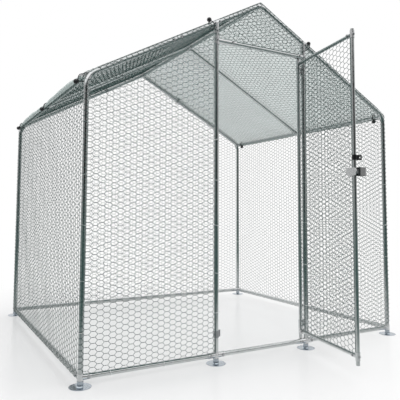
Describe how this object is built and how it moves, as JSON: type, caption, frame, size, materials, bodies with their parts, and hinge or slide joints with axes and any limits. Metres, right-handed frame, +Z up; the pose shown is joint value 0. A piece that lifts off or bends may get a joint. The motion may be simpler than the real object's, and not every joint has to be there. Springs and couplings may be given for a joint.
{
  "type": "chicken run",
  "caption": "Walk-in poultry run: gabled tube frame with wire netting on all sides, a tied roof sheet, round feet and a hinged netted door with a turning latch.",
  "frame": {"origin": "on the ground, in the middle of the four corner feet", "axes": "+Z up, the door side faces -Y, +X to the right as seen from the door side"},
  "size_m": [2.144, 2.3822, 2.0175],
  "materials": {
    "tube": "hot-dip galvanised, soft spangle",
    "fittings": "bright galvanised",
    "hardware": "zinc plated",
    "foot_steel": "bright zinc plated, bluish",
    "netting": "galvanised wire with a thin grey-green coat",
    "cover": "translucent woven sheet, coated",
    "elastic": "braided elastic",
    "ball": "moulded, glossy",
    "latch_black": "powder coated"
  },
  "bodies": {
    "frame": {"front_left_leg": "tube", "front_right_leg": "tube", "back_left_leg": "tube", "back_right_leg": "tube", "front_peak": "tube", "mid_peak": "tube", "back_peak": "tube", "mid_left_rafter": "tube", "mid_right_rafter": "tube", "front_ridge_tube": "tube", "back_ridge_tube": "tube", "left_eave_tube": "tube", "right_eave_tube": "tube", "left_base_rail": "tube", "right_base_rail": "tube", "back_base_rail": "tube", "front_left_base_rail": "tube", "door_sill_rail": "tube", "front_right_base_rail": "tube", "left_door_post": "tube", "right_door_post": "tube", "door_header": "tube", "eave_tees": "fittings", "ridge_tees": "fittings", "mid_eave_tees": "fittings", "post_saddles": "fittings", "header_tees": "fittings", "base_corner_fittings": "fittings", "base_post_fittings": "fittings", "feet": "foot_steel", "left_wall_net": "netting", "right_wall_net": "netting", "back_wall_net": "netting", "front_left_net": "netting", "front_right_net": "netting", "gable_net": "netting", "left_roof_net": "netting", "right_roof_net": "netting", "roof_cover": "cover", "cover_eyelets": "fittings", "bungee_loops": "elastic", "bungee_balls": "ball", "hinge_clips": "hardware", "hinge_bolts": "hardware", "door_stop": "hardware"},
    "door": {"hinge_stile": "tube", "latch_stile": "tube", "door_top_rail": "tube", "door_bottom_rail": "tube", "door_tees": "fittings", "door_net": "netting", "padlock_eye": "hardware", "latch_bracket": "hardware"},
    "latch": {"latch_shaft": "hardware", "latch_handle": "latch_black", "latch_tongue": "hardware"}
  },
  "joints": [
    {"name": "door_swing", "type": "hinge", "parent": "frame", "child": "door", "pos_m": [0.283, -0.88, 0], "axis": [0, 0, 1], "range_deg": [-79, 46]},
    {"name": "latch_turn", "type": "hinge", "parent": "door", "child": "latch", "pos_m": [0.17643, -1.42824, 0.998], "axis": [0.9816, -0.1908, 0], "range_deg": [0, 180]}
  ]
}
